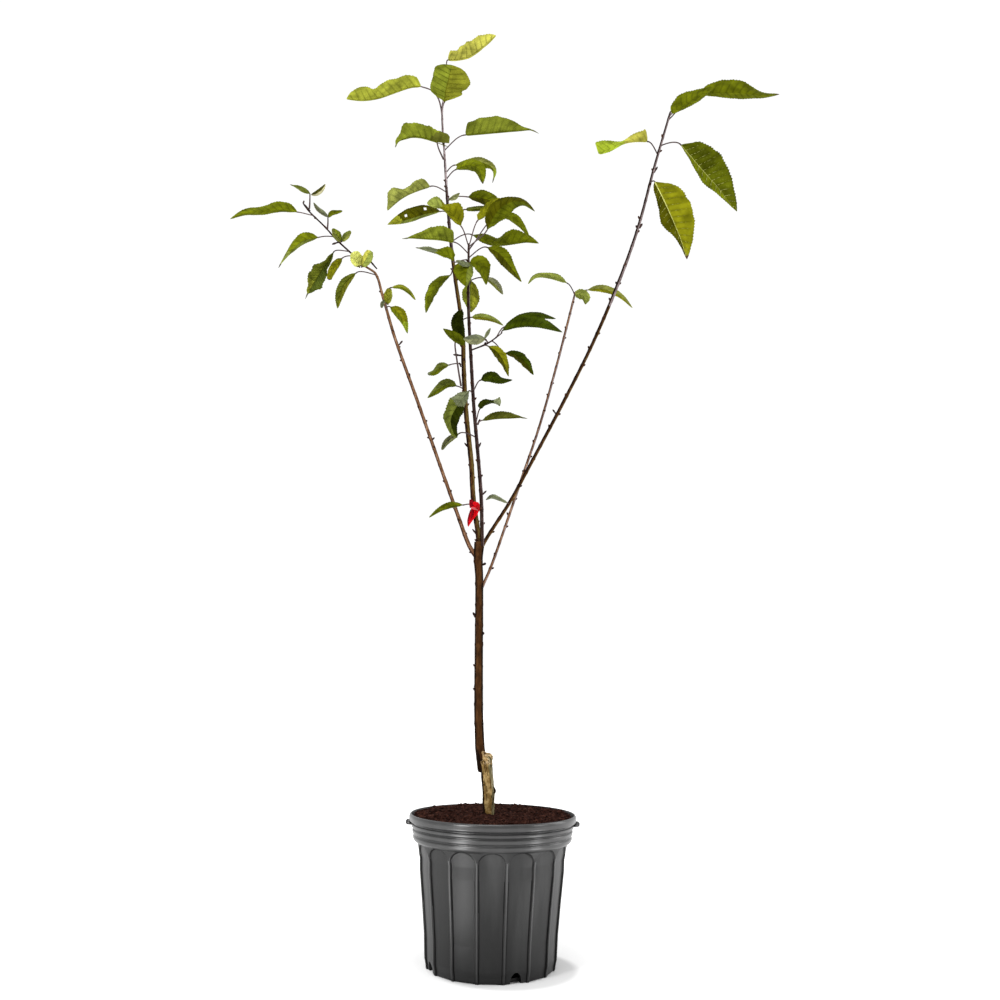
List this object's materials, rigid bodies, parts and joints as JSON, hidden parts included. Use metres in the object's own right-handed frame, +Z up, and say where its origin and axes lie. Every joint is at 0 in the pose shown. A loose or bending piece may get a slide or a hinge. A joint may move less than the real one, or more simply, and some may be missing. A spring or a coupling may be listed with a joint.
{
  "type": "potted young cherry tree",
  "caption": "Young cherry tree with upright leaders, spreading side boughs and sparse drooping leaves, in a round ribbed nursery pot of bark mix.",
  "frame": {"origin": "centre of the pot's flat underside", "axes": "+Z up along the pot's axis, +X to the right in the picture, +Y away from the viewer"},
  "size_m": [1.0784, 0.3948, 1.8127],
  "materials": {
    "pot_plastic": "satin charcoal moulded plastic",
    "bark_mix": "moist ground bark",
    "bark": "smooth brown bark with lenticels",
    "young_bark": "thin reddish young bark",
    "leaf": "waxy upper side, dull underside",
    "red_ribbon": "red marking tape"
  },
  "bodies": {
    "root": {"pot": "pot_plastic", "potting_soil": "bark_mix", "trunk": "bark", "leader": "bark", "second_leader": "bark", "left_bough": "bark", "right_bough": "bark", "left_bough_tip": "young_bark", "thin_bough": "young_bark", "side_twig": "young_bark", "marker_ribbon": "red_ribbon", "foliage_L1": "leaf", "foliage_L2": "leaf", "foliage_L8a": "leaf", "foliage_L9": "leaf", "foliage_L10": "leaf", "foliage_L12": "leaf", "foliage_T1": "leaf", "foliage_T2": "leaf", "foliage_T3": "leaf", "foliage_T4": "leaf", "foliage_T5": "leaf", "foliage_T7": "leaf", "foliage_C1": "leaf", "foliage_C2": "leaf", "foliage_C5b": "leaf", "foliage_C9": "leaf", "foliage_C10": "leaf", "foliage_C11": "leaf", "foliage_C12": "leaf", "foliage_C15": "leaf", "foliage_C16": "leaf", "foliage_C17": "leaf", "foliage_C18": "leaf", "foliage_C19": "leaf", "foliage_C21": "leaf", "foliage_D3": "leaf", "foliage_D4": "leaf", "foliage_D5": "leaf", "foliage_D6": "leaf", "foliage_D7": "leaf", "foliage_D11": "leaf", "foliage_R2": "leaf", "foliage_R3": "leaf", "foliage_R4": "leaf", "foliage_S2": "leaf", "foliage_L3b": "leaf", "foliage_L4b": "leaf", "foliage_L5b": "leaf", "foliage_L6": "leaf", "foliage_T6a": "leaf", "foliage_C13": "leaf", "foliage_D1": "leaf", "foliage_D9": "leaf", "foliage_R1b": "leaf", "foliage_S3": "leaf", "foliage_C4": "leaf", "foliage_C5": "leaf", "foliage_C20a": "leaf", "foliage_C20b": "leaf"}
  },
  "joints": []
}
